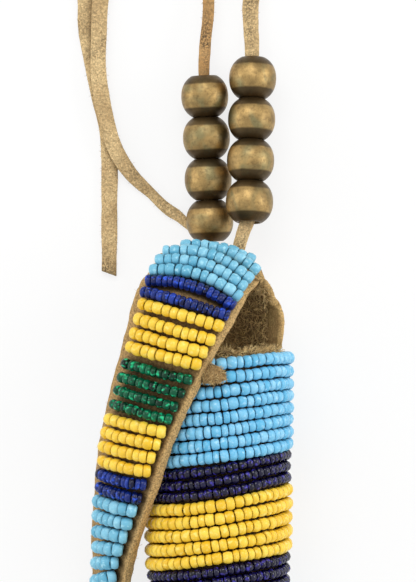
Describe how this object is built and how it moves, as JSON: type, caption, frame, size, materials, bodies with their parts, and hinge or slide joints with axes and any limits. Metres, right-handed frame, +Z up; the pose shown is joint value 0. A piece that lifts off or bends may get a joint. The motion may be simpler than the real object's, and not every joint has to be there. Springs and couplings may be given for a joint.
{
  "type": "beaded awl case",
  "caption": "Slender closed hide tube wound with bands of seed beads, with a beaded fold-over lid flap, brass beads on a carrying thong and a tie thong; holds an awl.",
  "frame": {"origin": "on the floor, under the middle of the first strand of beads below the mouth", "axes": "+Y along the tube towards its mouth and hood, +Z up from the floor it lies on"},
  "size_m": [0.0417, 0.2413, 0.0304],
  "materials": {
    "smoked_hide": "matte, napped",
    "thong_hide": "matte, napped",
    "brass": "worn, tarnished",
    "light_blue_glass": "opaque, greasy lustre",
    "navy_glass": "dark, polished",
    "yellow_glass": "opaque, greasy lustre",
    "cobalt_glass": "dark, polished",
    "green_glass": "dark, polished"
  },
  "bodies": {
    "case": {"hide_tube": "smoked_hide", "wrap_01_light_blue": "light_blue_glass", "wrap_02_navy": "navy_glass", "wrap_03_yellow": "yellow_glass", "wrap_04_navy": "navy_glass", "wrap_05_light_blue": "light_blue_glass", "wrap_06_navy": "navy_glass", "wrap_07_yellow": "yellow_glass", "wrap_08_navy": "navy_glass", "wrap_09_light_blue": "light_blue_glass", "wrap_10_navy": "navy_glass", "wrap_11_yellow": "yellow_glass", "wrap_12_navy": "navy_glass", "wrap_13_light_blue": "light_blue_glass", "hood_hide": "smoked_hide", "hood_row_1_light_blue": "light_blue_glass", "hood_row_2_light_blue": "light_blue_glass", "carrying_thong": "thong_hide", "tie_thong": "thong_hide", "lacing_stub": "thong_hide"},
    "lid_flap": {"flap_hide": "smoked_hide", "flap_row_01_light_blue": "light_blue_glass", "flap_row_02_light_blue": "light_blue_glass", "flap_row_03_light_blue": "light_blue_glass", "flap_row_04_cobalt": "cobalt_glass", "flap_row_05_cobalt": "cobalt_glass", "flap_row_06_yellow": "yellow_glass", "flap_row_07_yellow": "yellow_glass", "flap_row_08_yellow": "yellow_glass", "flap_row_09_yellow": "yellow_glass", "flap_row_10_green": "green_glass", "flap_row_11_green": "green_glass", "flap_row_12_green": "green_glass", "flap_row_13_green": "green_glass", "flap_row_14_yellow": "yellow_glass", "flap_row_15_yellow": "yellow_glass", "flap_row_16_yellow": "yellow_glass", "flap_row_17_yellow": "yellow_glass", "flap_row_18_cobalt": "cobalt_glass", "flap_row_19_cobalt": "cobalt_glass", "flap_row_20_light_blue": "light_blue_glass", "flap_row_21_light_blue": "light_blue_glass", "flap_row_22_light_blue": "light_blue_glass", "flap_row_23_light_blue": "light_blue_glass", "flap_row_24_light_blue": "light_blue_glass", "flap_row_25_light_blue": "light_blue_glass", "flap_row_26_light_blue": "light_blue_glass", "flap_row_27_light_blue": "light_blue_glass"},
    "left_brass_stack": {"brass_bead_left_1": "brass", "brass_bead_left_2": "brass", "brass_bead_left_3": "brass", "brass_bead_left_4": "brass"},
    "right_brass_stack": {"brass_bead_right_1": "brass", "brass_bead_right_2": "brass", "brass_bead_right_3": "brass", "brass_bead_right_4": "brass"}
  },
  "joints": [
    {"name": "lid_fold", "type": "hinge", "parent": "case", "child": "lid_flap", "pos_m": [-0.00112, 0.01979, 0.0174], "axis": [-0.9803, 0.1905, -0.0523], "range_deg": [0, 80]},
    {"name": "left_stack_slide", "type": "slide", "parent": "case", "child": "left_brass_stack", "axis": [-0.0409, 0.9992, 0], "range_m": [0, 0.005]},
    {"name": "right_stack_slide", "type": "slide", "parent": "case", "child": "right_brass_stack", "axis": [0.027, 0.9911, -0.1306], "range_m": [0, 0.005]}
  ]
}
